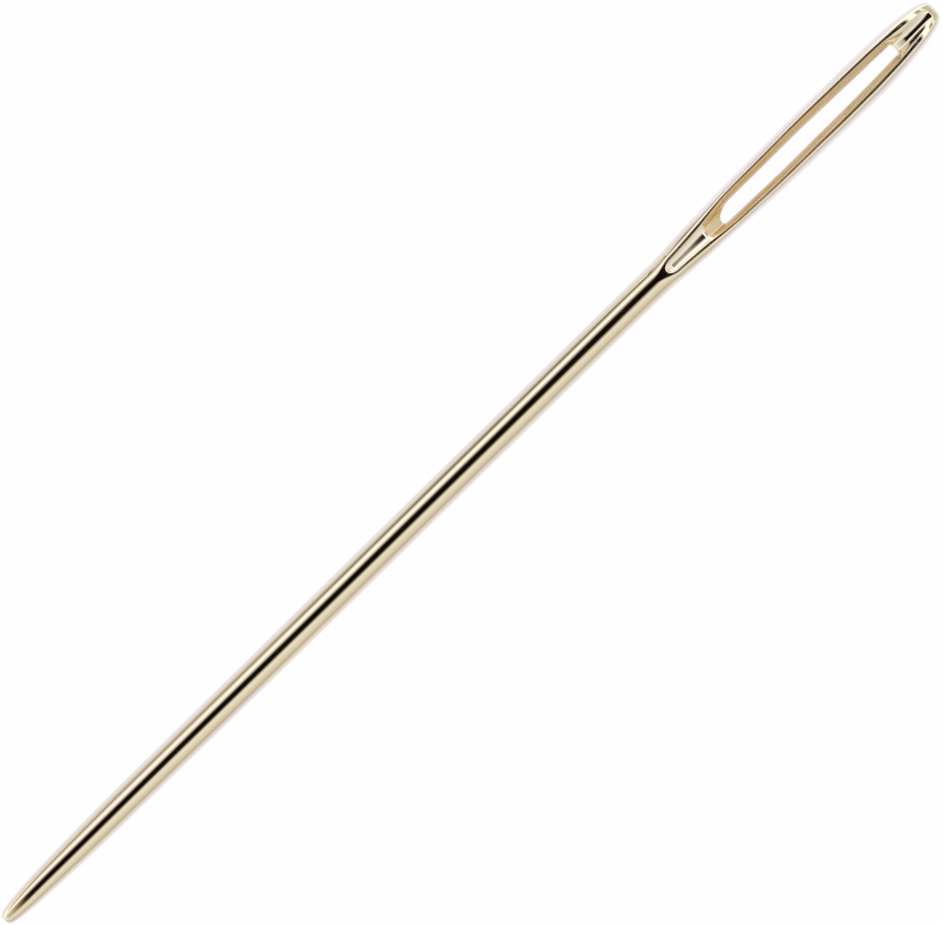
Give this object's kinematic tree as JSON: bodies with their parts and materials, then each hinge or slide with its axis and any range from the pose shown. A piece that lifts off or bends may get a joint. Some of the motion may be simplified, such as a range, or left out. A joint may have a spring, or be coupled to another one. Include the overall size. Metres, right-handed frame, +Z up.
{
  "type": "yarn needle",
  "caption": "Long blunt-pointed steel needle with a large open eye pressed into its flattened head, polished and plated pale gold.",
  "frame": {"origin": "The middle of the needle's length, on the surface that its shank lies on.", "axes": "+X runs along the needle from the point to the eye. +Y is to the left of that, across the head. +Z is up, and the eye opens along it."},
  "size_m": [0.07, 0.0026, 0.0017],
  "materials": {
    "plated_steel": "polished steel, plated pale gold"
  },
  "bodies": {
    "root": {"shank": "plated_steel", "neck": "plated_steel", "left_limb": "plated_steel", "right_limb": "plated_steel", "nose": "plated_steel"}
  },
  "joints": []
}
